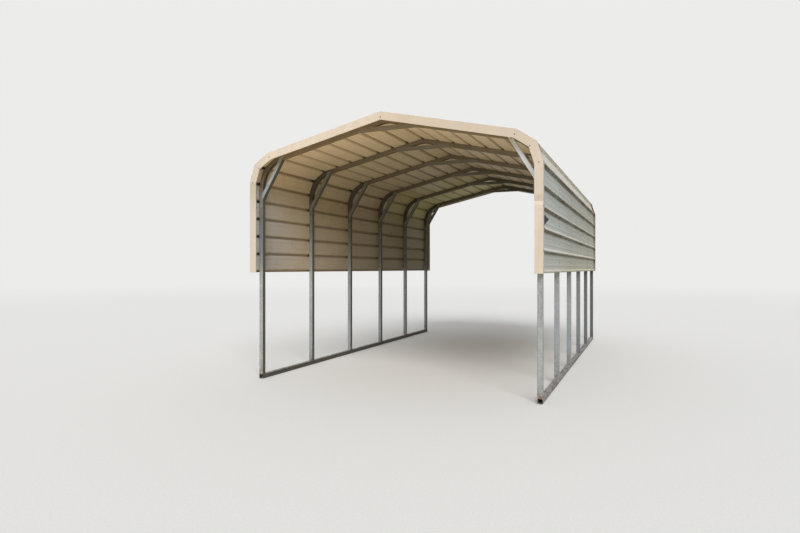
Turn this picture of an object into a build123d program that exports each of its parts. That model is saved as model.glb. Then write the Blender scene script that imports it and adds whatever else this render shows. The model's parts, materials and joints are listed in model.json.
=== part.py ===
from build123d import *
from math import atan2, cos, hypot, pi, radians, sin, tan
import os

os.makedirs("parts", exist_ok=True)

# Tubular steel carport for one car: six bows on two base rails, a sheeted roof and half-height sheeted
# sides. The origin is on the ground at the middle of the bay. X runs across, Y runs along and Z is up. The
# front is at low Y. Bows, legs and braces are numbered from the front.

# Frame
frame_width = 3657.6
frame_length = 6096.0
bow_count = 6
tube_side = 57.15
tube_wall = 2.66
tube_corner = 3.0
leg_height = 2478.0
bow_tail = 250.0
roof_slope = 12.7
eave_radius = 431.0
peak_radius = 250.0

# Slip joints between rail, leg and bow
nipple_length = 150.0
nipple_wall = 2.6
nipple_corner = 2.0
slip_clearance = 0.5
swage_height = 4.0

# Ground anchors
anchor_hole = 14.3
anchor_inset = 230.0

# Braces, folded from strip into channels that straddle the tube
brace_wall = 2.0
brace_depth = 45.0
brace_lap = 36.0
brace_clearance = 0.3
knee_below_bend = 133.0
knee_reach = 304.0
peak_brace_drop = 85.0
peak_brace_length = 880.0

# Sheets, with their ribs running along the carport
roof_overhang = 152.4
sheet_wall = 1.0
sheet_seat = 0.2
lap_clearance = 0.1
first_rib_height = 1402.0
rib_pitch = 228.6
rib_base = 58.0
rib_crest = 12.0
rib_height = 28.0
rib_cut = 0.3
foot_cut = 0.85
minor_rib_base = 26.0
minor_rib_crest = 14.0
minor_rib_height = 2.0
minor_ribs = 2
ridge_sheet_pitches = 4
eave_sheet_pitches = 4
eave_fold_shares = (0.23, 0.495, 0.275)

# End trim
trim_wall = 1.0
trim_seat = 0.2
trim_face = 94.0
trim_return = 60.0
trim_hem = 12.0
trim_drop = 14.0
trim_joint = 0.3
trim_lap_below_bend = 336.0
trim_lap_length = 60.0
trim_lap_gap = 0.1

# Values worked out from the sizes above
half_width = frame_width / 2
slope = radians(roof_slope)
eave_turn = pi / 2 - slope
bend_centre_x = half_width - eave_radius
corner_height = leg_height + eave_radius * tan(eave_turn / 2)
joint_height = leg_height - bow_tail
bow_spacing = (frame_length - tube_side) / (bow_count - 1)
roof_length = frame_length + 2 * roof_overhang
nipple_side = tube_side - 2 * tube_wall - 2 * slip_clearance
lap_lift = sheet_wall + lap_clearance
rib_angle = atan2(rib_height, (rib_base - rib_crest) / 2)
trim_over_ribs = sheet_seat + rib_height + lap_lift + sheet_wall + trim_seat
trim_bottom = first_rib_height - trim_drop
trim_lap_height = leg_height - trim_lap_below_bend


def save(shape, name):
    """Write one node."""
    export_step(shape, f"parts/{name}.step")


def along(point, direction, distance):
    """The point at a distance from another, both in the plane of a bow."""
    return (point[0] + direction[0] * distance, point[1] + direction[1] * distance)


def between(start, end, share):
    """The point at a share of the way from one point to another."""
    return (start[0] + (end[0] - start[0]) * share, start[1] + (end[1] - start[1]) * share)


def unit(start, end):
    """Direction from one point to the next."""
    length = hypot(end[0] - start[0], end[1] - start[1])
    return ((end[0] - start[0]) / length, (end[1] - start[1]) / length)


def outward(direction):
    """The side of a line that faces away from the bay, where it runs from left to right over the roof."""
    return (-direction[1], direction[0])


def bisector(before, after):
    """Unit direction halfway between two directions."""
    return unit((0, 0), (before[0] + after[0], before[1] + after[1]))


def meet(point_a, direction_a, point_b, direction_b):
    """Where two lines cross."""
    turn = direction_a[0] * direction_b[1] - direction_a[1] * direction_b[0]
    gap = (point_b[0] - point_a[0], point_b[1] - point_a[1])
    distance = (gap[0] * direction_b[1] - gap[1] * direction_b[0]) / turn
    return along(point_a, direction_a, distance)


def offset_line(points, distance):
    """The same line moved outward, with mitred corners."""
    directions = [unit(a, b) for a, b in zip(points, points[1:])]
    moved = [along(points[0], outward(directions[0]), distance)]
    for point, before, after in zip(points[1:], directions, directions[1:]):
        middle = bisector(before, after)
        stretch = middle[0] * before[0] + middle[1] * before[1]
        moved.append(along(point, outward(middle), distance / stretch))
    moved.append(along(points[-1], outward(directions[-1]), distance))
    return moved


def slab(points, y_start, y_end):
    """A prism whose outline lies in the plane of a bow and which runs along the carport."""
    outline = make_face(Plane.XZ * Polyline(*points, close=True))
    return Pos(0, y_end, 0) * extrude(outline, y_end - y_start)


def strip(points, thickness, y_start, y_end):
    """A bent plate: the line is its inner side."""
    outer = offset_line(points, thickness)
    return slab(points + outer[::-1], y_start, y_end)


def mirrored(shape):
    """The same piece on the other side of the bay."""
    return mirror(shape, about=Plane.YZ)


def section(side, wall, corner):
    """Hollow square section. Each outer corner is one flat, as wide as the real tube's round one."""
    square = Rectangle(side, side)
    inner = side - 2 * wall
    return chamfer(square.vertices(), corner) - Rectangle(inner, inner)


def nipple():
    """Smaller tube that a leg slips over, standing on z = 0."""
    return extrude(section(nipple_side, nipple_wall, nipple_corner), nipple_length)


def bow_y(number):
    """Place of a bow along the carport."""
    return -(frame_length - tube_side) / 2 + number * bow_spacing


def base_rail():
    """Rail under the right-hand legs, with a welded nipple for each leg and two anchor holes."""
    x = half_width - tube_side / 2
    tube = extrude(section(tube_side, tube_wall, tube_corner), frame_length)
    rail = Pos(x, frame_length / 2, tube_side / 2) * Rot(90, 0, 0) * tube
    for number in range(bow_count):
        rail += Pos(x, bow_y(number), tube_side) * nipple()
    for end in (-1, 1):
        y = end * (frame_length / 2 - anchor_inset)
        rail -= Pos(x, y, tube_side / 2) * Cylinder(anchor_hole / 2, 2 * tube_side)
    return rail


def leg():
    """Straight tube from the rail to the bow, on the right-hand side at y = 0."""
    tube = extrude(section(tube_side, tube_wall, tube_corner), joint_height - tube_side)
    return Pos(half_width - tube_side / 2, 0, tube_side) * tube


def bow():
    """One bent tube over the bay, with a reduced end that plugs into each leg."""
    inset = tube_side / 2
    x = half_width - inset
    eave = corner_height + inset * tan(slope) - inset / cos(slope)
    peak = eave + x * tan(slope)
    corners = [(-x, joint_height), (-x, eave), (0, peak), (x, eave), (x, joint_height)]
    radii = [eave_radius - inset, peak_radius - inset, eave_radius - inset]
    path = Plane.XZ * FilletPolyline(*corners, radius=radii)
    tube = sweep(Pos(-x, 0, joint_height) * section(tube_side, tube_wall, tube_corner), path=path)
    step = (tube_side - nipple_side) / 2
    swage = extrude(section(tube_side, step + nipple_wall, tube_corner), swage_height)
    end = swage + Pos(0, 0, -nipple_length) * nipple()
    return tube + Pos(-x, 0, joint_height) * end + Pos(x, 0, joint_height) * end


def channel(web, flange):
    """A folded channel across the tube, from the outlines of its web and its two flanges."""
    inner = tube_side / 2 + brace_clearance
    outer = inner + brace_wall
    shape = slab(web, -outer, outer)
    shape += slab(flange, inner, outer)
    return shape + slab(flange, -outer, -inner)


def knee_brace():
    """Channel across the right-hand eave corner, from the leg up to the roof tube."""
    up = (0, 1)
    down_slope = (cos(slope), -sin(slope))
    leg_face = (half_width - tube_side, leg_height - knee_below_bend)
    roof_face = (0, corner_height + half_width * tan(slope) - tube_side / cos(slope))
    high = meet((leg_face[0] - knee_reach, 0), up, roof_face, down_slope)
    run = unit(high, leg_face)

    def cuts(depth, lap):
        """Ends of the line at one depth behind the web's face, where it laps this far over the tubes."""
        start = along(leg_face, outward(run), depth)
        on_leg = meet(start, run, along(leg_face, (1, 0), lap), up)
        on_roof = meet(start, run, along(roof_face, outward(down_slope), lap), down_slope)
        return [on_roof, on_leg]

    web = cuts(0, -brace_clearance) + cuts(brace_wall, -brace_clearance)[::-1]
    flange = cuts(0, brace_lap) + cuts(brace_depth, brace_lap)[::-1]
    return channel(web, flange)


def peak_brace():
    """Level channel under the ridge bend, lapping both slopes."""
    level = (1, 0)
    down_slope = (cos(slope), -sin(slope))
    roof_face = (0, corner_height + half_width * tan(slope) - tube_side / cos(slope))
    bottom = roof_face[1] - peak_brace_drop
    half = peak_brace_length / 2

    def reach(height, lap):
        """Half the length at one height, where the channel laps this far over the tube."""
        return meet((0, height), level, along(roof_face, outward(down_slope), lap), down_slope)[0]

    web_top = bottom + brace_wall
    web_side = [(reach(bottom, -brace_clearance), bottom), (reach(web_top, -brace_clearance), web_top)]
    web = web_side + [(-x, z) for x, z in web_side[::-1]]
    top = bottom + brace_depth
    top_half = reach(top, brace_lap)
    lap_line = along(roof_face, outward(down_slope), brace_lap)
    end_top = meet((half, 0), (0, 1), lap_line, down_slope)
    side = [(half, bottom), end_top, (top_half, top)]
    flange = side + [(-x, z) for x, z in side[::-1]]
    return channel(web, flange)


def roof_line(shift):
    """Corners of the sheeting on the left, from the wall to the ridge, this far outside the tubes."""
    radius = eave_radius + shift
    bend = (-bend_centre_x, leg_height)
    turned = 0
    corners = []
    for share in eave_fold_shares:
        half_fold = eave_turn * share / 2
        turned += half_fold
        corners.append(along(bend, (-cos(turned), sin(turned)), radius / cos(half_fold)))
        turned += half_fold
    ridge = (0, corner_height + half_width * tan(slope) + shift / cos(slope))
    return corners + [ridge]


def divide(start, end, pitch):
    """Rib places from one corner to the next, without the last, in whole spaces near the pitch."""
    spaces = max(1, round(hypot(end[0] - start[0], end[1] - start[1]) / pitch))
    return [between(start, end, i / spaces) for i in range(spaces)]


def rib_places():
    """Centre of each rib from the left wall's foot over the roof to the right, and the first bend's rib."""
    wall_end, middle, slope_start, ridge = roof_line(sheet_seat)
    wall = divide((wall_end[0], first_rib_height), wall_end, rib_pitch)
    left = wall + [wall_end, middle] + divide(slope_start, ridge, rib_pitch)
    return left + [ridge] + [(-x, z) for x, z in left[::-1]], len(wall)


def rib(place, before, after, lift):
    """Foot, two crest corners and foot of one rib, or of one that laps over another."""
    half_base = rib_base / 2 + lift / sin(rib_angle)
    half_crest = rib_crest / 2 + lift * tan(rib_angle / 2)
    middle = bisector(before, after)
    crest = along(place, outward(middle), rib_height + lift)
    return [
        along(place, before, -half_base),
        along(crest, middle, -half_crest),
        along(crest, middle, half_crest),
        along(place, after, half_base),
    ]


def minor(place, direction):
    """Low stiffening rib in the flat between two ribs."""
    crest = along(place, outward(direction), minor_rib_height)
    return [
        along(place, direction, -minor_rib_base / 2),
        along(crest, direction, -minor_rib_crest / 2),
        along(crest, direction, minor_rib_crest / 2),
        along(place, direction, minor_rib_base / 2),
    ]


def sheet(places, first, last, lap_first, lap_last, first_cut=rib_cut):
    """One sheet from its first rib to its last; an end that laps lies over the neighbour's rib.

    Each end is cut off at a share of the way up its outermost slope.
    """
    directions = [unit(a, b) for a, b in zip(places, places[1:])]
    line = []
    for i in range(first, last + 1):
        before = directions[max(i - 1, first)]
        after = directions[min(i, last - 1)]
        laps = (i == first and lap_first) or (i == last and lap_last)
        foot, crest_start, crest_end, far_foot = rib(places[i], before, after, lap_lift if laps else 0)
        if i == first:
            foot = between(foot, crest_start, first_cut)
        if i == last:
            far_foot = between(far_foot, crest_end, rib_cut)
        line += [foot, crest_start, crest_end, far_foot]
        if i < last:
            for number in range(minor_ribs):
                share = (number + 1) / (minor_ribs + 1)
                line += minor(between(places[i], places[i + 1], share), after)
    return strip(line, sheet_wall, -roof_length / 2, roof_length / 2)


def trim_line(shift, bottom):
    """Fold line of the trim on the left half, this far outside the tubes, ending short of the ridge."""
    corners = roof_line(shift)
    ridge = corners[-1]
    short = (ridge[0] - trim_joint, ridge[1] - trim_joint * tan(slope))
    return [(corners[0][0], bottom)] + corners[:-1] + [short]


def trim(bottom):
    """Folded trim on the left half of the front end: a face, a return over the ribs and a hem."""
    front = -roof_length / 2 - trim_joint - 2 * trim_wall - trim_lap_gap
    edge = trim_over_ribs + trim_wall - trim_face
    outer = trim_line(trim_over_ribs + trim_wall, bottom)[::-1]
    face = slab(trim_line(edge, bottom) + outer, front, front + trim_wall)
    over_ribs = slab(trim_line(trim_over_ribs, bottom) + outer, front, front + trim_return)
    hem = slab(trim_line(edge, bottom) + trim_line(edge + trim_wall, bottom)[::-1], front, front + trim_hem)
    return face + over_ribs + hem


def trim_foot():
    """Separate lower length of trim on the right wall, tucked inside the one above it."""
    top = trim_lap_height + trim_lap_length
    front = -roof_length / 2 - trim_joint - trim_wall
    outer = trim_over_ribs - trim_lap_gap
    edge = trim_over_ribs - trim_face + 2 * trim_wall + trim_lap_gap

    def plate(low, high, depth):
        """Upright plate between two distances outside the tubes, this deep behind the front face."""
        sides = (half_width + low, half_width + high)
        corners = [(sides[0], trim_bottom), (sides[1], trim_bottom), (sides[1], top), (sides[0], top)]
        return slab(corners, front, front + depth)

    face = plate(edge, outer, trim_wall)
    over_ribs = plate(outer - trim_wall, outer, trim_return)
    hem = plate(edge, edge + trim_wall, trim_hem)
    return face + over_ribs + hem


def write_frame():
    """Rails, legs, bows and braces."""
    rail = base_rail()
    save(rail, "base_rail_right")
    save(mirrored(rail), "base_rail_left")
    right_leg = leg()
    left_leg = mirrored(right_leg)
    bent_tube = bow()
    knee = knee_brace()
    knees = Compound(children=[knee, mirrored(knee)])
    level_brace = peak_brace()
    for number in range(bow_count):
        place = Pos(0, bow_y(number), 0)
        save(place * right_leg, f"leg_right_{number + 1}")
        save(place * left_leg, f"leg_left_{number + 1}")
        save(place * bent_tube, f"roof_bow_{number + 1}")
        save(place * knees, f"knee_braces_{number + 1}")
        save(place * level_brace, f"peak_brace_{number + 1}")


def write_sheets():
    """Sheets from the left wall to the right one. Each higher sheet laps over the one below."""
    places, bend_rib = rib_places()
    eave_start = bend_rib - 1
    eave_end = eave_start + eave_sheet_pitches
    roof_end = len(places) // 2 - ridge_sheet_pitches // 2
    wall = sheet(places, 0, eave_start, False, False, foot_cut)
    eave = sheet(places, eave_start, eave_end, True, False)
    roof = sheet(places, eave_end, roof_end, True, False)
    ridge = sheet(places, roof_end, roof_end + ridge_sheet_pitches, True, True)
    for piece, name in ((wall, "wall_sheet"), (eave, "eave_sheet"), (roof, "roof_sheet")):
        save(piece, f"{name}_left")
        save(mirrored(piece), f"{name}_right")
    save(ridge, "ridge_sheet")


def write_trim():
    """Trim on both halves of both ends. On the front right it comes in two lengths."""
    front_left = trim(trim_bottom)
    back_left = mirror(front_left, about=Plane.XZ)
    save(front_left, "front_trim_left")
    save(mirrored(trim(trim_lap_height)), "front_trim_right")
    save(trim_foot(), "front_trim_foot_right")
    save(back_left, "back_trim_left")
    save(mirrored(back_left), "back_trim_right")


write_frame()
write_sheets()
write_trim()
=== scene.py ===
import json
from math import cos, hypot, pi, radians, sin, tan

import bmesh
import bpy
from mathutils import Matrix, Vector


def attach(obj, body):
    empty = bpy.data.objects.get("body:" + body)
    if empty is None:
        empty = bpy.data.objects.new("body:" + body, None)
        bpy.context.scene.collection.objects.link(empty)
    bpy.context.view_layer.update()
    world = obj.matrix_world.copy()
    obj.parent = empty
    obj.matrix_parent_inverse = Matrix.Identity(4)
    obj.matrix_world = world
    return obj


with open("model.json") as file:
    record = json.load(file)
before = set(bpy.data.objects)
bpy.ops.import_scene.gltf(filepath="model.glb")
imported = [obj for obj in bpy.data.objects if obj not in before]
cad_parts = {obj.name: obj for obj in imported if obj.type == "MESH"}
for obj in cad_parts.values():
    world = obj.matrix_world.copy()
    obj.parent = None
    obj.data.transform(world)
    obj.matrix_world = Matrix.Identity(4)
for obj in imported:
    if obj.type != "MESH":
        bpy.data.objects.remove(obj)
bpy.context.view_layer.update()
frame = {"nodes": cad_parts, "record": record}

# Sizes of the part, in metres
half_width = 1.8288
frame_length = 6.096
bow_count = 6
tube = 0.05715
leg_height = 2.478
bow_tail = 0.250
slope = radians(12.7)
eave_radius = 0.431
fold_shares = (0.23, 0.495, 0.275)
first_rib = 1.402
rib_pitch = 0.2286
rib_height = 0.028
sheet_wall = 0.001
sheet_seat = 0.0002
eave_pitches = 4
ridge_pitches = 4
trim_out = 0.0315
trim_front = 3.2028
brace_out = tube / 2 + 0.0023
brace_depth = 0.045
brace_lap = 0.036
knee_below_bend = 0.133
knee_reach = 0.304
peak_brace_drop = 0.085

# Values worked out from those
eave_turn = pi / 2 - slope
corner_height = leg_height + eave_radius * tan(eave_turn / 2)
ridge_underside = corner_height + half_width * tan(slope) - tube / cos(slope)
bow_spacing = (frame_length - tube) / (bow_count - 1)
bow_places = [(number - (bow_count - 1) / 2) * bow_spacing for number in range(bow_count)]
down_slope = (cos(slope), -sin(slope))


# Points and directions in the plane of a bow, as (x, z)
def along(point, direction, distance):
    """The point at a distance from another."""
    return (point[0] + direction[0] * distance, point[1] + direction[1] * distance)


def between(start, end, share):
    """The point at a share of the way from one point to another."""
    return (start[0] + (end[0] - start[0]) * share, start[1] + (end[1] - start[1]) * share)


def unit(start, end):
    """Direction from one point to the next."""
    length = hypot(end[0] - start[0], end[1] - start[1])
    return ((end[0] - start[0]) / length, (end[1] - start[1]) / length)


def outward(direction):
    """The side that faces away from the bay, of a line that runs from left to right over the roof."""
    return (-direction[1], direction[0])


def meet(point_a, direction_a, point_b, direction_b):
    """Where two lines cross."""
    turn = direction_a[0] * direction_b[1] - direction_a[1] * direction_b[0]
    gap = (point_b[0] - point_a[0], point_b[1] - point_a[1])
    return along(point_a, direction_a, (gap[0] * direction_b[1] - gap[1] * direction_b[0]) / turn)


def roof_line(shift):
    """Corners of the sheeting on the left, from the wall to the ridge, this far outside the tubes."""
    bend = (eave_radius - half_width, leg_height)
    turned = 0
    corners = []
    for share in fold_shares:
        half_fold = eave_turn * share / 2
        turned += half_fold
        corners.append(along(bend, (-cos(turned), sin(turned)), (eave_radius + shift) / cos(half_fold)))
        turned += half_fold
    return corners + [(0, corner_height + half_width * tan(slope) + shift / cos(slope))]


def divide(start, end):
    """Rib places from one corner to the next, without the last."""
    spaces = round(hypot(end[0] - start[0], end[1] - start[1]) / rib_pitch)
    return [between(start, end, i / spaces) for i in range(spaces)]


def rib_places():
    """Centre of every rib from the left wall's foot to the ridge, and how many are below the bend."""
    wall_end, middle, slope_start, ridge = roof_line(sheet_seat)
    wall = divide((wall_end[0], first_rib), wall_end)
    return wall + [wall_end, middle] + divide(slope_start, ridge) + [ridge], len(wall)


def flat_planes():
    """Outward direction and distance of each flat of the sheeting on the right, from wall to ridge."""
    corners = [(-x, z) for x, z in roof_line(sheet_seat)]
    planes = []
    for start, end in zip([(corners[0][0], 0.0)] + corners, corners):
        direction = unit(start, end)
        normal = (direction[1], -direction[0])
        planes.append((normal, start[0] * normal[0] + start[1] * normal[1]))
    return planes


# Node trees
class Nodes:
    """A node tree and the steps that build it."""

    def __init__(self, tree):
        self.tree = tree

    def add(self, kind, inputs, **settings):
        """A node with its settings and with each input set or linked."""
        made = self.tree.nodes.new("ShaderNode" + kind)
        for key, value in settings.items():
            setattr(made, key, value)
        for key, value in inputs.items():
            self.put(made.inputs[key], value)
        return made

    def put(self, socket, value):
        """Link a socket to another, or set its own value."""
        if isinstance(value, bpy.types.NodeSocket):
            self.tree.links.new(value, socket)
        else:
            socket.default_value = value

    def math(self, operation, *values):
        """One step of arithmetic."""
        return self.add("Math", dict(enumerate(values)), operation=operation).outputs[0]

    def chain(self, operation, first, others):
        """The same step with one value after another."""
        for other in others:
            first = self.math(operation, first, other)
        return first

    def times(self, first, *others):
        """Values multiplied."""
        return self.chain("MULTIPLY", first, others)

    def plus(self, first, *others):
        """Values added."""
        return self.chain("ADD", first, others)

    def most(self, first, *others):
        """The largest of some values."""
        return self.chain("MAXIMUM", first, others)

    def weighted(self, *pairs):
        """Values added, each times its weight."""
        return self.plus(*[self.times(value, weight) for value, weight in pairs])

    def axes(self, vector):
        """The three parts of a vector."""
        return self.add("SeparateXYZ", {0: vector}).outputs

    def seen(self):
        """1 where the eye, gloss or glass looks, and 0 where light is gathered."""
        path = self.add("LightPath", {}).outputs
        return self.most(path["Is Camera Ray"], path["Is Glossy Ray"], path["Is Transmission Ray"])


class Look(Nodes):
    """One material and its node tree."""

    def __init__(self, name):
        self.material = bpy.data.materials.new(name)
        self.material.use_nodes = True
        super().__init__(self.material.node_tree)
        self.shader = self.tree.nodes["Principled BSDF"]
        self.place = self.add("TexCoord", {}).outputs["Object"]
        self.x, self.y, self.z = self.axes(self.place)

    def facing(self):
        """The direction that the surface faces, along the three axes."""
        return self.axes(self.add("NewGeometry", {}).outputs["True Normal"])

    def stretched(self, x, y, z):
        """The place with each axis scaled, for streaks."""
        return self.add("VectorMath", {0: self.place, 1: (x, y, z)}, operation="MULTIPLY").outputs[0]

    def noise(self, scale, vector=None, detail=4.0, roughness=0.55):
        """Cloudy values around a half."""
        inputs = {"Vector": vector or self.place, "Scale": scale, "Detail": detail, "Roughness": roughness}
        return self.add("TexNoise", inputs).outputs["Fac"]

    def streaks(self, x, y, z, detail):
        """Cloudy values with a scale of their own along each axis."""
        return self.noise(scale=1.0, vector=self.stretched(x, y, z), detail=detail)

    def ramp(self, value, limits, start=0.0, end=1.0):
        """A smooth step from one value to another, between two limits."""
        inputs = {0: value, 1: limits[0], 2: limits[1], 3: start, 4: end}
        return self.add("MapRange", inputs, interpolation_type="SMOOTHSTEP").outputs[0]

    def mix(self, share, first, second):
        """A blend of two colours."""
        made = self.add("Mix", {0: share, 6: first, 7: second}, data_type="RGBA")
        return made.outputs[2]

    def bump(self, height, distance, strength, normal=None):
        """Relief of this depth in metres."""
        inputs = {"Height": height, "Distance": distance, "Strength": strength}
        if normal:
            inputs["Normal"] = normal
        return self.add("Bump", inputs).outputs[0]

    def finish(self, colour, roughness, normal, metallic):
        """Join the shader."""
        self.put(self.shader.inputs["Base Color"], colour)
        self.put(self.shader.inputs["Roughness"], roughness)
        self.put(self.shader.inputs["Normal"], normal)
        self.shader.inputs["Metallic"].default_value = metallic
        return self.material


def rgb(red, green, blue):
    """A colour as the screen shows it, from 0 to 255, turned into shader values."""
    values = []
    for part in (red, green, blue):
        share = part / 255
        values.append(share / 12.92 if share <= 0.04045 else ((share + 0.055) / 1.055) ** 2.4)
    return (*values, 1.0)


# Colours of the galvanised steel
zinc_dark = rgb(138, 143, 148)
zinc_pale = rgb(175, 181, 187)
# Painted highlight, for the right knee braces that face the sky in front
zinc_highlight = rgb(220, 224, 236)
white_rust = rgb(190, 192, 190)
soil_brown = rgb(124, 104, 82)
rust_brown = rgb(112, 66, 38)
# Brown under the roof: partly a real film, partly painted shade and the roof's brown painted on as its
# reflection, darker further back
film_in_front = rgb(126, 106, 80)
film_shaded_middle = rgb(101, 86, 65)
film_shaded_back = rgb(84, 75, 50)
# Painted shade in the eave bends
bend_shade_colour = rgb(44, 37, 26)
# Painted shade for faces in the bay's shade
shade_grey = rgb(78, 76, 68)

# Ranges that the galvanised finish follows, in metres
splash_height = (0.0, 0.30)
rust_height = (0.02, 0.11)
film_height = (2.20, 2.50)
film_front_end = (-2.9, -2.0)
film_back_end = (0.0, 2.2)
bend_across = (1.36, 1.52)
bend_depth = (-3.1, -1.8)
shade_depth = (-1.5, 3.0)
upper_leg = (1.30, 2.20)
leg_end = (2.26, 2.23)
leg_joint = (2.23, 2.26)
right_brace = (0.5, 1.0)

# Ranges of the direction that a face looks in, as its part along one axis
level_faces = (-0.5, 0.0)
inward_faces = (-0.3, -0.7)
front_faces = (-0.5, -0.8)
sloping_faces = (0.45, 0.75)
downward_faces = (-0.40, -0.65)

# How metallic bare zinc looks, and how much of that the film takes away
bare_metal = 0.22
film_cover = 0.2


def zinc(look, shade):
    """The bare coating, with patches of white rust."""
    pale = look.ramp(shade, (0.25, 0.85))
    white = look.ramp(look.noise(scale=11.0, detail=6.0), (0.56, 0.70), end=0.45)
    return look.mix(white, look.mix(pale, zinc_dark, zinc_pale), white_rust)


def soiled(look, colour):
    """The colour with soil and rust near the ground, and the share of soil."""
    patchy = look.noise(scale=26.0, detail=5.0)
    low = look.ramp(look.z, splash_height, start=0.85, end=0.0)
    lowest = look.ramp(look.z, rust_height, start=0.8, end=0.0)
    soil = look.times(low, look.ramp(patchy, (0.38, 0.62)))
    rust = look.times(lowest, look.ramp(patchy, (0.52, 0.64)))
    return look.mix(rust, look.mix(soil, colour, soil_brown), rust_brown), soil


def filmed_and_shaded(look, colour, facing, film, bend_shade):
    """The colour under the roof: brown film with painted shade, darker further back, more on faces that
    look down and darkest in the eave bends; and the share of film and shade.
    """
    # Painted shade: more film on faces that look down, and the brown deepens further back
    faces = look.ramp(facing[2], level_faces, start=1.0, end=0.85)
    film_and_shade = look.times(look.ramp(look.z, film_height, end=film), faces)
    brown = look.mix(look.ramp(look.y, film_front_end), film_in_front, film_shaded_middle)
    brown = look.mix(look.ramp(look.y, film_back_end), brown, film_shaded_back)
    # Painted shade in the eave bends, less towards the front
    bend_shade_share = look.ramp(look.math("ABSOLUTE", look.x), bend_across, end=bend_shade)
    bend_shade_share = look.times(bend_shade_share, look.ramp(look.y, bend_depth, start=0.4, end=1.0))
    return look.mix(bend_shade_share, look.mix(film_and_shade, colour, brown), bend_shade_colour), film_and_shade


def shade_on_faces(look, facing, runs):
    """Share of painted shade in grey: on faces towards the bay, on front faces of the right legs further
    back and on the legs' upper part.
    """
    inward = look.times(facing[0], look.math("SIGN", look.x))
    uneven = look.ramp(runs, (0.2, 0.7), start=0.75, end=0.95)
    towards_bay = look.times(look.ramp(inward, inward_faces), uneven)
    on_right = look.math("GREATER_THAN", look.x, 0.0)
    deeper = look.ramp(look.y, shade_depth, end=0.7)
    deep = look.times(look.ramp(facing[1], front_faces), deeper, on_right)
    upper = look.times(look.ramp(look.z, upper_leg, end=0.45), look.ramp(look.z, leg_end))
    return look.most(towards_bay, deep, upper)


# The film share also sets how much painted shade the steel under the roof gets
def galvanised(name, film, bend_shade=0.0):
    """Zinc with its spangle and run marks, soiled at the foot, with brown film and painted shade under the
    roof, painted shade on faces towards the bay and a painted highlight on the right braces.
    """
    look = Look(name)
    facing = look.facing()
    cells = look.add("TexVoronoi", {"Vector": look.place, "Scale": 95.0}).outputs["Color"]
    spangle = look.add("SeparateColor", {0: cells}).outputs[0]
    clouds = look.noise(scale=2.2)
    runs = look.streaks(x=70, y=70, z=2.5, detail=3.0)
    shade = look.weighted((spangle, 0.28), (clouds, 0.55), (runs, 0.25))
    colour, soil = soiled(look, zinc(look, shade))
    colour, film_and_shade = filmed_and_shaded(look, colour, facing, film, bend_shade)
    painted_shade = shade_on_faces(look, facing, runs)
    # Painted shade
    colour = look.mix(painted_shade, colour, shade_grey)
    # Painted highlight on the right side above the leg joint, strongest where there is no film
    highlight = look.times(look.ramp(look.z, leg_joint), look.ramp(look.x, right_brace, end=1.0 - film))
    colour = look.mix(highlight, colour, zinc_highlight)
    dulled = look.most(soil, film_and_shade, painted_shade)
    roughness = look.ramp(look.plus(shade, dulled), (0.2, 1.4), start=0.46, end=0.76)
    relief = look.bump(look.plus(spangle, look.noise(scale=240.0)), distance=0.00012, strength=0.35)
    return look.finish(colour, roughness, relief, metallic=bare_metal - film_cover * film)


# Colours of the sheets
outer_dark = rgb(197, 199, 196)
outer_pale = rgb(210, 212, 208)
outer_crest_highlight = rgb(230, 224, 206)
outer_slope_lit = rgb(232, 226, 213)
outer_over_wall_lit = rgb(247, 240, 229)
outer_warm = rgb(203, 195, 160)
outer_paler_front = rgb(228, 232, 231)
# Mildew and painted shade on the undersides of the ribs
growth_and_shade = rgb(104, 94, 66)
inner_dark = rgb(203, 190, 171)
inner_pale = rgb(212, 199, 181)
# Painted shade deep in the bay
inner_shade_deep = rgb(100, 94, 60)
inner_cool_light = rgb(185, 182, 181)
inner_edge_lit = rgb(210, 212, 224)
inner_front_roof_lit = rgb(240, 221, 203)
inner_back_left_lit = rgb(240, 239, 178)
inner_back_right_lit = rgb(244, 234, 216)
hollow_dirt_and_shade = rgb(108, 80, 52)
crossing_shade = rgb(34, 27, 18)
grime_brown = rgb(134, 124, 98)
bow_line_brown = rgb(112, 100, 80)
foot_brown = rgb(150, 140, 112)
patch_dark = rgb(50, 42, 38)

# Ranges that the sheets' finish follows, in metres
outer_wall_end = (2.58, 2.64)
upper_slope = (2.80, 3.10)
wall_foot = (1.95, 1.40)
warm_depth = (-1.8, 3.0)
paler_front_depth = (-0.8, -2.1)
inner_bend = (2.46, 2.70)
deep_wall = (-2.0, 2.4)
cool_depth = (-1.9, -2.9)
cool_height = (2.60, 1.90)
front_strip = (-3.02, -3.12)
front_roof = (-1.6, -3.0)
left_to_right = (0.0, 1.2)
back_roof = (0.3, 2.6)
back_height = (2.20, 2.80)
back_middle = (-0.5, 0.5)
crossing_depth = (-2.8, -2.2)
sheet_foot = (1.37, 1.50)
crest_heights = (0.020, 0.027)
hollow_heights = (0.005, 0.024)
crossing_reach = 0.12
line_reach = 0.03


def facing_out(look):
    """1 on the faces of the sheets that face away from the bay, and 0 on the others."""
    half_across = 1.85
    middle_height = 1.2
    half_up = 2.0
    squareness = 4.0
    across = look.math("DIVIDE", look.x, half_across)
    up = look.math("DIVIDE", look.math("SUBTRACT", look.z, middle_height), half_up)
    steep = look.math("POWER", look.math("ABSOLUTE", across), squareness)
    steep = look.times(look.math("SIGN", across), steep)
    high = look.math("POWER", look.most(up, 0.0), squareness)
    away = look.add("CombineXYZ", {0: steep, 1: 0.0, 2: high}).outputs[0]
    normal = look.add("NewGeometry", {}).outputs["True Normal"]
    dot = look.add("VectorMath", {0: normal, 1: away}, operation="DOT_PRODUCT").outputs["Value"]
    return look.math("GREATER_THAN", dot, 0.0)


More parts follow.
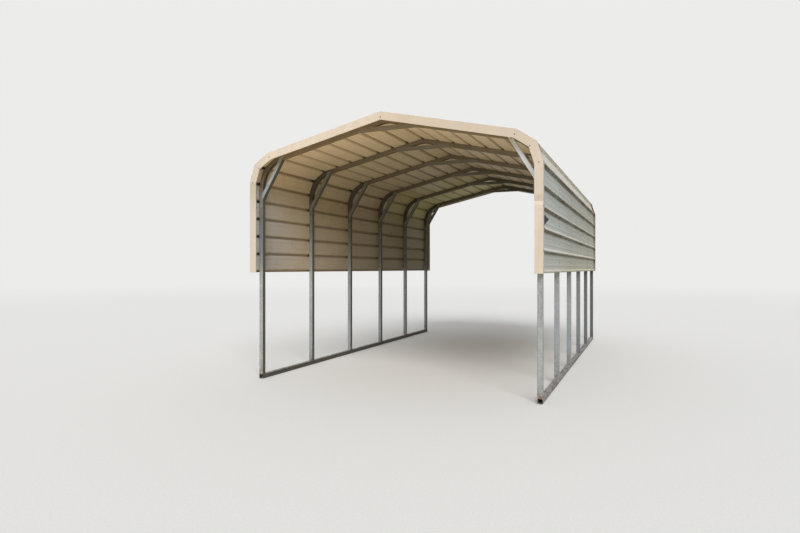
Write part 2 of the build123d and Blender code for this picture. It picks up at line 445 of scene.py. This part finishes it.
def stand_off(look):
    """How far the point stands outside the flats of the sheeting: up to the height of a rib."""
    side = look.math("ABSOLUTE", look.x)
    furthest = -1.0
    for (across, up), distance in flat_planes():
        level = look.plus(look.times(side, across), look.times(look.z, up))
        furthest = look.most(look.math("SUBTRACT", level, distance), furthest)
    return furthest


def shadow_under_rib(look):
    """0 to 1 over the last part of each flat of the wall, up to the foot of the rib above it, where the
    painted shadow under each rib goes.
    """
    rib_foot = (0.76, 0.88)
    top = roof_line(sheet_seat)[0][1]
    spaces = round((top - first_rib) / rib_pitch)
    steps = look.math("DIVIDE", look.math("SUBTRACT", look.z, first_rib), (top - first_rib) / spaces)
    return look.ramp(look.math("FRACT", steps), rib_foot)


def near_bow(look, reach):
    """1 over the middle of a bow, falling to 0 at this distance along the carport."""
    steps = look.math("DIVIDE", look.math("SUBTRACT", look.y, bow_places[0]), bow_spacing)
    off = look.math("ABSOLUTE", look.math("SUBTRACT", steps, look.math("ROUND", steps)))
    return look.ramp(off, (0.0, reach / bow_spacing), start=1.0, end=0.0)


def dark_patch(look):
    """The near-black mark on the right wall: tall at the front trim and pointed behind it."""
    start = -3.15
    length = 0.54
    middle_height = 1.937
    rise = 0.063
    half_height = 0.095
    ragged = 0.05
    edge = 0.008
    right_wall = 1.8
    along_wall = look.math("DIVIDE", look.math("SUBTRACT", look.y, start), length)
    middle = look.plus(middle_height, look.times(along_wall, rise))
    wander = look.times(look.math("SUBTRACT", look.noise(scale=22.0), 0.5), ragged)
    off = look.math("ABSOLUTE", look.math("SUBTRACT", look.plus(look.z, wander), middle))
    half = look.times(look.math("SUBTRACT", 1.0, along_wall), half_height)
    inside = look.ramp(look.math("SUBTRACT", half, off), (0.0, edge))
    return look.times(inside, look.math("GREATER_THAN", look.x, right_wall))


def outer_paint(look, tone, patches):
    """The weather side: painted light on top, paler in front, warmer low down, and darker under each rib
    with painted shade and some mildew.
    """
    shadow_under_rib_share = 0.4
    tilt = look.facing()[2]
    colour = look.mix(tone, outer_dark, outer_pale)
    # Painted highlight along the crests of the ribs
    crest = look.ramp(stand_off(look), crest_heights, end=0.55)
    colour = look.mix(crest, colour, outer_crest_highlight)
    # Painted light on faces that look up
    colour = look.mix(look.ramp(tilt, sloping_faces, end=0.8), colour, outer_slope_lit)
    below_top = look.ramp(look.z, upper_slope, start=1.0, end=0.0)
    # Painted light on the folds above the wall, which face the sky
    over_wall_lit = look.times(look.ramp(look.z, outer_wall_end, end=0.85), below_top)
    colour = look.mix(over_wall_lit, colour, outer_over_wall_lit)
    warm = look.most(look.ramp(look.z, wall_foot, end=0.50), look.ramp(look.y, warm_depth, end=0.40))
    warm = look.times(warm, look.ramp(look.z, outer_wall_end, start=1.0, end=0.4))
    colour = look.mix(warm, colour, outer_warm)
    on_wall = look.ramp(look.z, outer_wall_end, start=1.0, end=0.0)
    # Paler towards the front of the wall
    paler_front = look.times(look.ramp(look.y, paler_front_depth, end=0.5), on_wall)
    colour = look.mix(paler_front, colour, outer_paler_front)
    # Painted shade on faces that look down and a painted shadow under each rib, with patches of mildew
    grown_and_shaded = look.most(look.ramp(tilt, downward_faces), look.times(shadow_under_rib(look), shadow_under_rib_share))
    grown_and_shaded = look.times(grown_and_shaded, look.ramp(patches, (0.3, 0.7), start=0.62, end=0.95), on_wall)
    return look.mix(grown_and_shaded, colour, growth_and_shade)


def inner_wall(look, colour, on_wall):
    """The walls inside: painted shade towards the back, painted bluish sky light low in front and painted
    light along the front edge.
    """
    # Painted shade towards the back of the walls
    deep = look.times(look.ramp(look.y, deep_wall, end=0.45), on_wall)
    colour = look.mix(deep, colour, inner_shade_deep)
    # Painted bluish sky light low on the walls in front
    below_bend = look.ramp(look.z, cool_height, start=0.15, end=1.0)
    cool_light = look.times(look.ramp(look.y, cool_depth), below_bend, on_wall)
    colour = look.mix(cool_light, colour, inner_cool_light)
    # Painted light on the first strip of the walls behind the front edge
    return look.mix(look.times(look.ramp(look.y, front_strip), on_wall), colour, inner_edge_lit)


def inner_roof(look, colour, under_roof):
    """The underside of the roof: painted light from the ground in front, most on the left, and painted
    green-yellow reflected light at the back.
    """
    less_on_right = look.ramp(look.x, left_to_right, start=0.95, end=0.40)
    # Painted light from the paving in front
    front = look.times(look.ramp(look.y, front_roof), less_on_right, under_roof)
    colour = look.mix(front, colour, inner_front_roof_lit)
    # Painted green-yellow light reflected from plants behind, strongest on the left
    back = look.times(look.ramp(look.y, back_roof, end=0.60), look.ramp(look.z, back_height))
    back_light_colour = look.mix(look.ramp(look.x, back_middle), inner_back_left_lit, inner_back_right_lit)
    return look.mix(back, colour, back_light_colour)


def inner_paint(look, tone):
    """The side towards the bay: tan, with painted shade and dirt in the hollows of the ribs, and darkest
    painted shade where bows cross them.
    """
    hollow_share = 0.42
    crossing_share = 0.9
    under_roof = look.ramp(look.z, inner_bend)
    on_wall = look.math("SUBTRACT", 1.0, under_roof)
    colour = inner_wall(look, look.mix(tone, inner_dark, inner_pale), on_wall)
    colour = inner_roof(look, colour, under_roof)
    hollow = look.ramp(stand_off(look), hollow_heights)
    # Painted shade with some dirt in the hollows of the ribs
    colour = look.mix(look.times(hollow, hollow_share), colour, hollow_dirt_and_shade)
    on_crossing = look.most(under_roof, look.ramp(look.y, crossing_depth, start=1.0, end=0.55))
    # Painted shade in the rib hollows just over each bow
    crossing_shadow = look.times(hollow, near_bow(look, crossing_reach), on_crossing, crossing_share)
    return look.mix(crossing_shadow, colour, crossing_shade)


def sheet_paint():
    """Coil paint in one colour for each side, with grime, a line at each bow and dust at the foot."""
    look = Look("sheet_paint")
    outside = facing_out(look)
    clouds = look.noise(scale=1.3, detail=3.0)
    streaks = look.streaks(x=0.7, y=9.0, z=0.7, detail=4.0)
    fine = look.streaks(x=2.0, y=60.0, z=2.0, detail=3.0)
    patches = look.noise(scale=3.4, vector=look.stretched(0.8, 2.6, 0.8), detail=6.0)
    tone = look.ramp(look.weighted((clouds, 0.75), (streaks, 0.2), (fine, 0.05)), (0.38, 0.62))
    colour = look.mix(outside, inner_paint(look, tone), outer_paint(look, tone, patches))
    grime = look.ramp(patches, (0.52, 0.74), end=0.15)
    colour = look.mix(grime, colour, grime_brown)
    line = look.times(near_bow(look, line_reach), look.ramp(streaks, (0.3, 0.7), start=0.05, end=0.2))
    colour = look.mix(line, colour, bow_line_brown)
    foot = look.times(look.ramp(look.z, sheet_foot, start=0.5, end=0.0), look.ramp(fine, (0.35, 0.65)))
    colour = look.mix(foot, colour, foot_brown)
    colour = look.mix(look.times(dark_patch(look), outside), colour, patch_dark)
    roughness = look.ramp(look.plus(tone, grime), (0.0, 1.3), start=0.50, end=0.72)
    look.shader.inputs["Specular IOR Level"].default_value = 0.16
    waves = look.bump(look.streaks(x=5.0, y=1.6, z=5.0, detail=2.0), distance=0.004, strength=0.5)
    relief = look.bump(look.noise(scale=380.0, detail=2.0), distance=0.0001, strength=0.3, normal=waves)
    return look.finish(colour, roughness, relief, metallic=0.0)


# Colours of the trim
trim_dark = rgb(211, 198, 187)
trim_pale = rgb(218, 206, 196)
trim_right_slope = rgb(200, 186, 172)
trim_left_wall = rgb(204, 193, 186)
trim_under_bend = rgb(172, 162, 144)
trim_dust = rgb(186, 162, 128)
trim_lap_shade = rgb(176, 158, 138)
trim_lap_pale = rgb(246, 236, 226)
trim_end_brown = rgb(190, 166, 134)

# Ranges that the trim's finish follows, in metres
trim_slope = (2.60, 2.95)
right_of_ridge = (-0.1, 0.3)
left_wall = (-1.5, -1.75)
below_bend = (2.10, 2.50)
bend_line = (2.56, 2.51)
lap_line = (2.138, 2.144)
lap_top = (2.19, 2.23)
lap_foot = (2.09, 2.11)
trim_end = (1.37, 1.47)
right_side = 1.7
front_side = -3.0


def trim_lap(look, colour):
    """The lap on the right front trim: a band of painted shadow above its edge and a pale one below."""
    shadow_share = 0.40
    pale_share = 0.35
    above = look.times(look.ramp(look.z, lap_line), look.ramp(look.z, lap_top, start=1.0, end=0.0))
    below = look.times(look.ramp(look.z, lap_foot), look.ramp(look.z, lap_line, start=1.0, end=0.0))
    on_right = look.math("GREATER_THAN", look.x, right_side)
    right_front = look.times(on_right, look.math("LESS_THAN", look.y, front_side))
    # Painted shadow of the lap above its edge
    colour = look.mix(look.times(above, right_front, shadow_share), colour, trim_lap_shade)
    return look.mix(look.times(below, right_front, pale_share), colour, trim_lap_pale)


def trim_paint():
    """Warm cream coil paint with faint runs and some dust, duller on the left and on the right slope."""
    look = Look("trim_paint")
    runs = look.streaks(x=12.0, y=12.0, z=2.0, detail=3.0)
    clouds = look.noise(scale=3.0, detail=4.0)
    tone = look.ramp(look.weighted((runs, 0.5), (clouds, 0.5)), (0.4, 0.6))
    colour = look.mix(tone, trim_dark, trim_pale)
    slope_share = look.times(look.ramp(look.z, trim_slope), look.ramp(look.x, right_of_ridge, end=0.6))
    colour = look.mix(slope_share, colour, trim_right_slope)
    left = look.ramp(look.x, left_wall)
    colour = look.mix(left, colour, trim_left_wall)
    under_bend = look.times(look.ramp(look.z, below_bend, end=0.5), look.ramp(look.z, bend_line))
    colour = look.mix(look.times(left, under_bend), colour, trim_under_bend)
    dust = look.ramp(look.noise(scale=14.0, detail=7.0), (0.60, 0.74), end=0.35)
    colour = trim_lap(look, look.mix(dust, colour, trim_dust))
    end = look.times(look.ramp(look.z, trim_end, start=0.4, end=0.0), look.ramp(clouds, (0.4, 0.6)))
    colour = look.mix(end, colour, trim_end_brown)
    roughness = look.ramp(look.plus(tone, dust), (0.0, 1.3), start=0.40, end=0.60)
    waves = look.bump(look.noise(scale=6.0, detail=2.0), distance=0.001, strength=0.5)
    relief = look.bump(look.noise(scale=420.0, detail=2.0), distance=0.0001, strength=0.3, normal=waves)
    return look.finish(colour, roughness, relief, metallic=0.0)


# Colours of the screws
screw_zinc = rgb(168, 168, 160)
screw_rust = rgb(122, 78, 50)
screw_beige = rgb(186, 184, 172)
screw_chipped = rgb(112, 88, 64)
rubber_dark = rgb(48, 46, 43)
rubber_pale = rgb(78, 75, 70)


def screw_steel():
    """Zinc-plated screw heads, partly browned by rust."""
    look = Look("screw_steel")
    blotches = look.noise(scale=160.0, detail=3.0)
    each = look.noise(scale=7.0, detail=1.0)
    rust = look.ramp(look.plus(blotches, look.times(each, 0.8)), (0.75, 1.05), start=0.15, end=0.95)
    colour = look.mix(rust, screw_zinc, screw_rust)
    roughness = look.ramp(rust, (0.0, 1.0), start=0.38, end=0.85)
    relief = look.bump(look.noise(scale=900.0), distance=0.0002, strength=0.4)
    return look.finish(colour, roughness, relief, metallic=0.5)


def screw_paint():
    """Screw heads in the colour of the sheets, chipped to brown here and there."""
    look = Look("screw_paint")
    chipped = look.ramp(look.noise(scale=60.0, detail=4.0), (0.58, 0.68), start=0.1, end=0.8)
    colour = look.mix(chipped, screw_beige, screw_chipped)
    roughness = look.ramp(chipped, (0.0, 1.0), start=0.45, end=0.8)
    relief = look.bump(look.noise(scale=900.0), distance=0.0002, strength=0.4)
    return look.finish(colour, roughness, relief, metallic=0.0)


def washer_rubber():
    """Grey-black sealing washers, dulled by sun."""
    look = Look("washer_rubber")
    colour = look.mix(look.ramp(look.noise(scale=220.0), (0.35, 0.65)), rubber_dark, rubber_pale)
    roughness = look.ramp(look.noise(scale=90.0), (0.3, 0.7), start=0.7, end=0.9)
    relief = look.bump(look.noise(scale=700.0), distance=0.0001, strength=0.4)
    return look.finish(colour, roughness, relief, metallic=0.0)


# Rings of a screw, each with its radius and height in metres, from the rubber up
rubber_foot = (0.0074, 0.0)
rubber_top = (0.0074, 0.0010)
washer_edge = (0.0071, 0.0014)
washer_crown = (0.0060, 0.0018)
flange_foot = (0.0055, 0.0019)
flange_side = (0.0055, 0.0026)
flange_top = (0.0051, 0.0029)
round_rings = (rubber_foot, rubber_top, washer_edge, washer_crown, flange_foot, flange_side, flange_top)

# Rings of its six-sided head, each with a share of the head's width
head_foot = (1.00, 0.0029)
head_side = (1.00, 0.0053)
head_top = (0.86, 0.0060)
head_rings = (head_foot, head_side, head_top)

screw_rings = [(*ring, False) for ring in round_rings] + [(*ring, True) for ring in head_rings]
screw_sides = 18
screw_turn = 0.7
hex_half_width = 0.0040
rubber_rings = 1


def ring_radius(size, angle, is_hex):
    """Distance from the axis on a round or six-sided ring."""
    if not is_hex:
        return size
    off = (angle + pi / 6) % (pi / 3) - pi / 6
    return size * hex_half_width / cos(off)


def add_screw(mesh, place, normal, turn):
    """One hex-headed screw with its washer, standing on a surface. The turn is in radians."""
    frame_of_screw = Vector(normal).to_track_quat("Z", "Y").to_matrix().to_4x4()
    matrix = Matrix.Translation(place) @ frame_of_screw
    rings = []
    for size, height, is_hex in screw_rings:
        ring = []
        for i in range(screw_sides):
            angle = 2 * pi * i / screw_sides
            radius = ring_radius(size, angle, is_hex)
            spot = Vector((radius * cos(angle + turn), radius * sin(angle + turn), height))
            ring.append(mesh.verts.new(matrix @ spot))
        rings.append(ring)
    for level, (low, high) in enumerate(zip(rings, rings[1:])):
        for i in range(screw_sides):
            j = (i + 1) % screw_sides
            face = mesh.faces.new((low[i], low[j], high[j], high[i]))
            face.material_index = 1 if level < rubber_rings else 0
            face.smooth = not screw_rings[level + 1][2]
    mesh.faces.new(rings[-1])
    mesh.faces.new(rings[0][::-1]).material_index = 1


def screw_piece(name, spots, head):
    """A mesh with one screw at each spot, riding on the frame."""
    mesh = bmesh.new()
    for number, (place, normal) in enumerate(spots):
        add_screw(mesh, place, normal, number * screw_turn)
    data = bpy.data.meshes.new(name)
    mesh.to_mesh(data)
    mesh.free()
    data.materials.append(materials[head])
    data.materials.append(materials["washer_rubber"])
    piece = bpy.data.objects.new(name, data)
    bpy.context.scene.collection.objects.link(piece)
    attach(piece, "root")
    return piece


def both_sides(spots):
    """The same spots on the other side of the bay as well, apart from those in the middle."""
    at_middle = 1e-6
    flipped = [((-x, y, z), (-a, b, c)) for (x, y, z), (a, b, c) in spots if abs(x) > at_middle]
    return spots + flipped


def sheet_screws():
    """A row of screws into every bow, one in the middle of each flat."""
    places = rib_places()[0]
    spots = []
    for y in bow_places:
        for start, end in zip(places, places[1:]):
            normal = outward(unit(start, end))
            x, z = along(between(start, end, 0.5), normal, sheet_wall)
            spots.append(((x, y, z), (normal[0], 0, normal[1])))
    return both_sides(spots)


def lap_screws():
    """Short screws through the crests where one sheet laps over the next, between the bows."""
    between_bows = 3
    lap_gap = 0.0001
    crest = rib_height + 2 * sheet_wall + lap_gap
    places, bend_rib = rib_places()
    eave_start = bend_rib - 1
    laps = (eave_start, eave_start + eave_pitches, len(places) - 1 - ridge_pitches // 2)
    spots = []
    for number in laps:
        before = unit(places[number - 1], places[number])
        after = unit(places[number], places[number + 1])
        normal = outward(unit((0, 0), (before[0] + after[0], before[1] + after[1])))
        x, z = along(places[number], normal, crest)
        for bow in bow_places[:-1]:
            for i in range(between_bows):
                y = bow + bow_spacing * (i + 1) / (between_bows + 1)
                spots.append(((x, y, z), (normal[0], 0, normal[1])))
    return both_sides(spots)


def trim_screws():
    """Screws at each fold and at the ridge on the trim's face, and into the ribs from above."""
    fold_shifts = (-0.014, -0.050, -0.026)
    ridge_shift = -0.034
    return_depth = 0.032
    spots = []
    for side in (-1, 1):
        for number, shift in enumerate(fold_shifts):
            x, z = roof_line(shift)[number]
            spots.append(((x, side * trim_front, z), (0, side, 0)))
        places = rib_places()[0]
        for start, end in list(zip(places, places[1:]))[1::2]:
            normal = outward(unit(start, end))
            x, z = along(start, normal, trim_out - sheet_seat)
            spots.append(((x, side * (trim_front - return_depth), z), (normal[0], 0, normal[1])))
    ridge = roof_line(ridge_shift)[-1]
    return both_sides(spots) + [((0, side * trim_front, ridge[1]), (0, side, 0)) for side in (-1, 1)]


def brace_spots():
    """Screws on the flanges of the braces, two at each end, as points in the plane of a bow."""
    half_pair = 0.011
    peak_screw_height = 0.020
    peak_screws_across = (0.420, 0.392)
    knee_start = (half_width - tube, leg_height - knee_below_bend)
    roof_start = (0, ridge_underside)
    knee_top = meet((knee_start[0] - knee_reach, 0), (0, 1), roof_start, down_slope)
    run = unit(knee_top, knee_start)
    deep = along(knee_start, outward(run), brace_depth / 2)
    on_leg = meet(deep, run, along(knee_start, (1, 0), brace_lap / 2), (0, 1))
    on_roof = meet(deep, run, along(roof_start, outward(down_slope), brace_lap / 2), down_slope)
    spots = [along(end, run, side * half_pair) for end in (on_leg, on_roof) for side in (-1, 1)]
    peak_height = ridge_underside - peak_brace_drop + peak_screw_height
    return spots + [(x, peak_height) for x in peak_screws_across]


def frame_screws():
    """Screws at both ends of each brace, in the joint between leg and bow, and at each leg's foot."""
    joint = leg_height - bow_tail
    joint_drops = (0.035, 0.100)
    foot_rises = (0.040, 0.100)
    leg_screws = [joint - drop for drop in joint_drops] + [tube + rise for rise in foot_rises]
    inner = half_width - tube
    spots = []
    for bow in bow_places:
        for x, z in brace_spots():
            spots.append(((x, bow - brace_out, z), (0, -1, 0)))
            spots.append(((x, bow + brace_out, z), (0, 1, 0)))
        for z in leg_screws:
            spots.append(((inner, bow, z), (-1, 0, 0)))
    return both_sides(spots)


# Materials
materials = {
    "galvanised_steel": galvanised("galvanised_steel", film=0.0),
    "dulled_shaded_steel": galvanised("dulled_shaded_steel", film=0.78),
    "shaded_bow_steel": galvanised("shaded_bow_steel", film=0.95, bend_shade=0.5),
    "shaded_brace_steel": galvanised("shaded_brace_steel", film=0.58),
    "sheet_paint": sheet_paint(),
    "trim_paint": trim_paint(),
    "screw_steel": screw_steel(),
    "screw_paint": screw_paint(),
    "washer_rubber": washer_rubber(),
}
# Steel under the roof takes copies of the zinc with film and painted shade
shaded_steel_of_node = {"roof_bow": "shaded_bow_steel", "knee_braces": "shaded_brace_steel", "peak_brace": "dulled_shaded_steel"}
unshaded_node = "knee_braces_1"


def finish_of(name, slot_name):
    """The material of a node. The steel under the roof has a film with painted shade, apart from the front
    knee braces.
    """
    kind = name.rsplit("_", 1)[0]
    if name == unshaded_node:
        return slot_name
    return shaded_steel_of_node.get(kind, slot_name)


for row in frame["record"]["subparts"]:
    for material_slot in frame["nodes"][row["node"]].material_slots:
        material_slot.material = materials[finish_of(row["node"], row["material_slot"])]

screw_piece("sheet_screws", sheet_screws(), "screw_paint")
screw_piece("lap_screws", lap_screws(), "screw_paint")
screw_piece("trim_screws", trim_screws(), "screw_steel")
screw_piece("frame_screws", frame_screws(), "screw_steel")

# Light that the ground gives back, in each direction from the carport
ground_strength = 1.2
ground_front = (1.0, 0.84, 0.50, 1.0)
ground_front_right = (0.28, 0.26, 0.17, 1.0)
ground_under_front = (0.28, 0.23, 0.16, 1.0)
ground_under_back = (0.06, 0.05, 0.02, 1.0)
ground_back = (0.13, 0.12, 0.08, 1.0)
ground_left = (0.40, 0.39, 0.30, 1.0)
ground_right = (0.11, 0.11, 0.07, 1.0)

# Ranges over which that light changes, in metres
roof_shade = (-1.2, -0.2)
back_edge = (3.0, 3.6)
right_edge = (1.9, 2.3)
left_edge = (-1.9, -2.3)
front_edge = (-2.8, -3.6)

# Floor and background
background = rgb(236, 236, 235)
floor_dark = rgb(240, 238, 235)
floor_pale = rgb(246, 244, 241)
fade_distance = (14.0, 45.0)


def ground_light(look):
    """What the ground gives back: most in front, little under the roof and some on each side."""
    under_roof = look.mix(look.ramp(look.y, roof_shade), ground_under_front, ground_under_back)
    under_roof = look.mix(look.ramp(look.y, back_edge), under_roof, ground_back)
    right = look.ramp(look.x, right_edge)
    beside = look.mix(look.ramp(look.x, left_edge), under_roof, ground_left)
    beside = look.mix(right, beside, ground_right)
    in_front = look.mix(right, ground_front, ground_front_right)
    colour = look.mix(look.ramp(look.y, front_edge), beside, in_front)
    return look.add("Emission", {"Color": colour, "Strength": ground_strength}).outputs[0]


def floor_look():
    """Pale and matt, fading into the background far away."""
    look = Look("floor")
    speckle = look.ramp(look.noise(scale=60.0, detail=6.0), (0.3, 0.7))
    look.put(look.shader.inputs["Base Color"], look.mix(speckle, floor_dark, floor_pale))
    look.shader.inputs["Roughness"].default_value = 0.9
    distance = look.add("VectorMath", {0: look.place}, operation="LENGTH").outputs["Value"]
    haze = look.add("Emission", {"Color": background, "Strength": 1.0}).outputs[0]
    far = look.ramp(distance, fade_distance)
    pale = look.add("MixShader", {0: far, 1: look.shader.outputs[0], 2: haze}).outputs[0]
    joined = look.add("MixShader", {0: look.seen(), 1: ground_light(look), 2: pale}).outputs[0]
    look.put(look.tree.nodes["Material Output"].inputs[0], joined)
    return look.material


def make_floor():
    """A large floor just under the part, which also lights it from below."""
    size = 150.0
    height = -0.001
    data = bpy.data.meshes.new("floor")
    corners = [(-size, -size, height), (size, -size, height), (size, size, height), (-size, size, height)]
    data.from_pydata(corners, [], [(0, 1, 2, 3)])
    data.materials.append(floor_look())
    floor = bpy.data.objects.new("floor", data)
    bpy.context.scene.collection.objects.link(floor)


# Light
def make_world():
    """A pale background, and a soft dome that is brightest overhead and on the left and behind."""
    overhead = 0.50
    from_left = -0.24
    from_right = 0.06
    from_behind = 0.22
    cool_white = (0.97, 0.99, 1.0, 1.0)
    world = bpy.data.worlds.new("dome")
    bpy.context.scene.world = world
    world.use_nodes = True
    world.node_tree.nodes.clear()
    sky = Nodes(world.node_tree)
    x, y, z = sky.axes(sky.add("TexCoord", {}).outputs["Generated"])
    above = sky.most(sky.times(z, overhead), 0.0)
    across = sky.most(sky.times(x, from_left), sky.times(x, from_right))
    behind = sky.most(sky.times(y, from_behind), 0.0)
    level = sky.plus(above, sky.plus(across, behind))
    dome = sky.add("Background", {"Color": cool_white, "Strength": level}).outputs[0]
    backdrop = sky.add("Background", {"Color": background, "Strength": 1.0}).outputs[0]
    joined = sky.add("MixShader", {0: sky.seen(), 1: dome, 2: backdrop}).outputs[0]
    sky.add("OutputWorld", {0: joined})


def make_key():
    """A broad soft light from the upper right in front."""
    towards_lamp = (0.34, -0.74, 0.57)
    lamp = bpy.data.lights.new("key", "SUN")
    lamp.energy = 2.35
    lamp.angle = radians(40)
    lamp.color = (0.98, 0.99, 1.0)
    key = bpy.data.objects.new("key", lamp)
    key.rotation_euler = Vector(towards_lamp).to_track_quat("Z", "Y").to_euler()
    bpy.context.scene.collection.objects.link(key)


def make_camera():
    """A level view at eye height, from in front and a little right of the carport's middle."""
    data = bpy.data.cameras.new("camera")
    data.sensor_width = 36.0
    data.lens = 25.82
    data.shift_y = 0.0022
    data.clip_end = 400.0
    camera = bpy.data.objects.new("camera", data)
    camera.location = (2.8517, -9.2261, 1.4436)
    camera.rotation_euler = (pi / 2, 0.0, 0.4079)
    bpy.context.scene.collection.objects.link(camera)
    bpy.context.scene.camera = camera


make_floor()
make_world()
make_key()
make_camera()
bpy.context.scene.view_settings.view_transform = "Standard"
